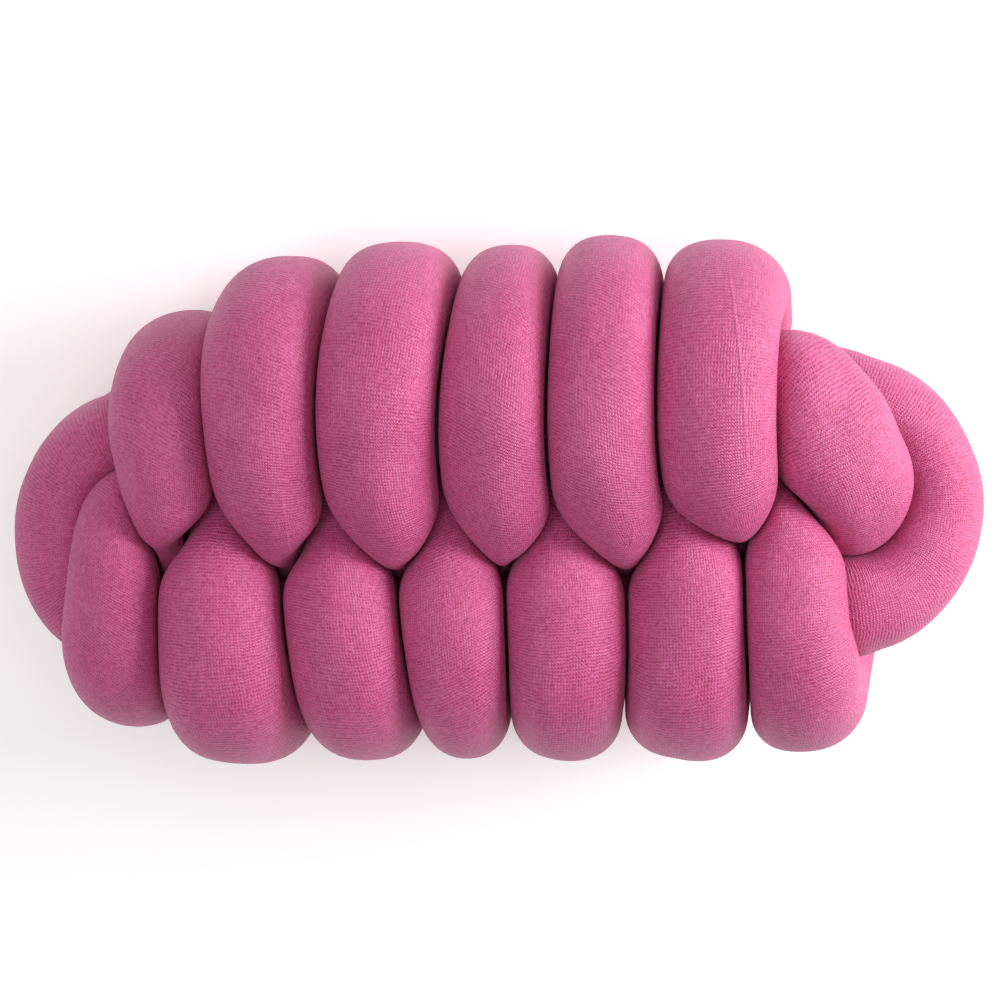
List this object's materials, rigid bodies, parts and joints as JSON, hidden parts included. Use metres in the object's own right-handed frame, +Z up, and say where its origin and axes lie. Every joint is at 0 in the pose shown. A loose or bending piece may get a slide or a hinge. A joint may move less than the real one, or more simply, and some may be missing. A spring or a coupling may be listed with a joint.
{
  "type": "knot cushion",
  "caption": "Oblong scatter cushion made of one long stuffed knitted tube, laid in a ring and laced over it into two rows of fat lobes with a loop at each end.",
  "frame": {"origin": "centre of the cushion's outline, on the surface that its back rests on", "axes": "+X along its length, towards the end with the wide loop; +Y across the face, towards the row of long lobes; +Z up out of its face"},
  "size_m": [0.5047, 0.2782, 0.1695],
  "materials": {
    "pink_jersey": "plain knitted jersey, deep pink, matt with a soft sheen at the edges"
  },
  "bodies": {
    "root": {"stuffed_tube": "pink_jersey"}
  },
  "joints": []
}
